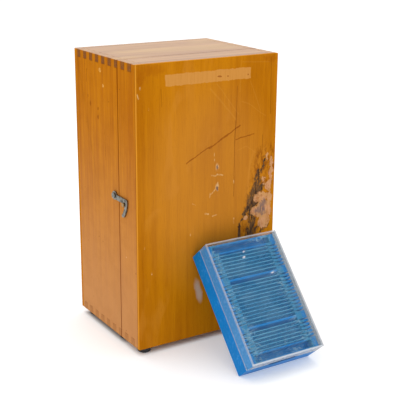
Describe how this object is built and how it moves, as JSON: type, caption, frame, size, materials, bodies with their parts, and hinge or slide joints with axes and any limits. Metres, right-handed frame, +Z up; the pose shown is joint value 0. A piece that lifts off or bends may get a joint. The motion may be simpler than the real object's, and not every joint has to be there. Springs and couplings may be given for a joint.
{
  "type": "cased microscope",
  "caption": "Finger-jointed wooden case with a deep hinged door and swing hook, a student microscope inside, and a plastic slide box leaning on the door.",
  "frame": {"origin": "centre of the whole outfit's footprint, on the surface it stands on", "axes": "+Z up, +X to the right along the case's front, +Y towards its back, so the door and the slide box face -Y"},
  "size_m": [0.1927, 0.275, 0.333],
  "materials": {
    "varnished_wood": "amber varnish, satin, worn",
    "plain_wood": "oiled, matt",
    "rubber_foot": "matt",
    "zinc_steel": "dull zinc",
    "old_brass": "tarnished",
    "blue_plastic": "moulded",
    "clear_plastic": "scuffed, hazy",
    "black_enamel": "gloss stove enamel",
    "chromed": "polished",
    "worked_brass": "satin",
    "lens_glass": "clear",
    "mirror_silver": "silvered"
  },
  "bodies": {
    "carcass": {"carcass_left_side": "varnished_wood", "carcass_right_side": "varnished_wood", "carcass_top": "varnished_wood", "carcass_bottom": "varnished_wood", "back_panel": "varnished_wood", "foot_middle_left": "rubber_foot", "foot_middle_right": "rubber_foot", "foot_rear_left": "rubber_foot", "foot_rear_right": "rubber_foot", "hinge_lower_case_leaf": "zinc_steel", "hinge_upper_case_leaf": "zinc_steel", "hinge_lower_pin": "zinc_steel", "hinge_upper_pin": "zinc_steel", "latch_pivot_screw": "zinc_steel", "stand_board": "plain_wood", "rail_left": "plain_wood", "rail_right": "plain_wood", "scope_foot": "black_enamel", "scope_limb": "black_enamel", "stage_plate": "black_enamel", "diaphragm_screw": "chromed"},
    "door": {"door_left_side": "varnished_wood", "door_right_side": "varnished_wood", "door_top": "varnished_wood", "door_bottom": "varnished_wood", "door_panel": "varnished_wood", "foot_door_left": "rubber_foot", "foot_door_right": "rubber_foot", "hinge_lower_door_leaf": "zinc_steel", "hinge_upper_door_leaf": "zinc_steel", "latch_stud": "old_brass"},
    "hook": {"latch_hook": "zinc_steel"},
    "slide_box": {"slide_tray": "blue_plastic"},
    "slide_box_lid": {"slide_lid": "clear_plastic"},
    "fine_drive": {"fine_spindle": "chromed", "fine_knob_left": "chromed", "fine_knob_right": "chromed"},
    "carriage": {"focus_carriage": "worked_brass"},
    "tube": {"body_tube": "chromed", "tube_rack": "worked_brass", "nosepiece_mount": "black_enamel"},
    "coarse_drive": {"coarse_pinion": "chromed", "coarse_knob_left": "chromed", "coarse_knob_right": "chromed"},
    "eyepiece": {"eyepiece": "black_enamel", "eye_lens": "lens_glass"},
    "turret": {"nosepiece_turret": "chromed", "objective_high": "chromed", "objective_low": "chromed", "objective_medium": "chromed"},
    "clip_left": {"stage_clip_left": "chromed"},
    "clip_right": {"stage_clip_right": "chromed"},
    "diaphragm": {"diaphragm_disc": "black_enamel"},
    "mirror_fork": {"mirror_fork": "chromed"},
    "mirror": {"mirror_cell": "chromed", "mirror_glass": "mirror_silver"}
  },
  "joints": [
    {"name": "door_swing", "type": "hinge", "parent": "carcass", "child": "door", "pos_m": [0.0945, 0.03014, 0.17], "axis": [0, 0, 1], "range_deg": [0, 180]},
    {"name": "hook_swing", "type": "hinge", "parent": "carcass", "child": "hook", "pos_m": [-0.093, 0.03814, 0.1795], "axis": [-1, 0, 0], "range_deg": [0, 90]},
    {"name": "slide_box_away", "type": "slide", "parent": "door", "child": "slide_box", "axis": [0, -1, 0], "range_m": [0, 0.12]},
    {"name": "slide_lid_off", "type": "slide", "parent": "slide_box", "child": "slide_box_lid", "axis": [0, -0.7431, 0.6691], "range_m": [0, 0.06]},
    {"name": "fine_knob_turn", "type": "hinge", "parent": "carcass", "child": "fine_drive", "pos_m": [0.022, 0.11854, 0.1716], "axis": [1, 0, 0], "range_deg": [-720.5, 720.5]},
    {"name": "fine_focus", "type": "slide", "parent": "carcass", "child": "carriage", "axis": [0, 0, 1], "range_m": [-0.001, 0.001]},
    {"name": "coarse_focus", "type": "slide", "parent": "carriage", "child": "tube", "axis": [0, 0, 1], "range_m": [0, 0.025]},
    {"name": "coarse_knob_turn", "type": "hinge", "parent": "carriage", "child": "coarse_drive", "pos_m": [0.022, 0.08454, 0.2216], "axis": [1, 0, 0], "range_deg": [-240, 0.5]},
    {"name": "eyepiece_draw", "type": "slide", "parent": "tube", "child": "eyepiece", "axis": [0, 0, 1], "range_m": [0, 0.014]},
    {"name": "turret_turn", "type": "hinge", "parent": "tube", "child": "turret", "pos_m": [0.022, 0.06254, 0.2196], "axis": [0, 0.2756, 0.9613], "continuous": true},
    {"name": "clip_left_swing", "type": "hinge", "parent": "carcass", "child": "clip_left", "pos_m": [-0.006, 0.08254, 0.1236], "axis": [0, 0, 1], "range_deg": [-70, 20]},
    {"name": "clip_right_swing", "type": "hinge", "parent": "carcass", "child": "clip_right", "pos_m": [0.05, 0.08254, 0.1236], "axis": [0, 0, 1], "range_deg": [-20, 70]},
    {"name": "diaphragm_turn", "type": "hinge", "parent": "carcass", "child": "diaphragm", "pos_m": [0.022, 0.04254, 0.1131], "axis": [0, 0, 1], "continuous": true},
    {"name": "mirror_fork_swivel", "type": "hinge", "parent": "carcass", "child": "mirror_fork", "pos_m": [0.022, 0.09254, 0.0716], "axis": [0, 1, 0], "range_deg": [-90, 90]},
    {"name": "mirror_tilt", "type": "hinge", "parent": "mirror_fork", "child": "mirror", "pos_m": [0.022, 0.06254, 0.0716], "axis": [1, 0, 0], "range_deg": [-180, 180]}
  ],
  "couplings": [
    {"joint": "fine_knob_turn", "follows": "fine_focus", "rad_per_m": 12566},
    {"joint": "coarse_knob_turn", "follows": "coarse_focus", "rad_per_m": -166.67}
  ]
}
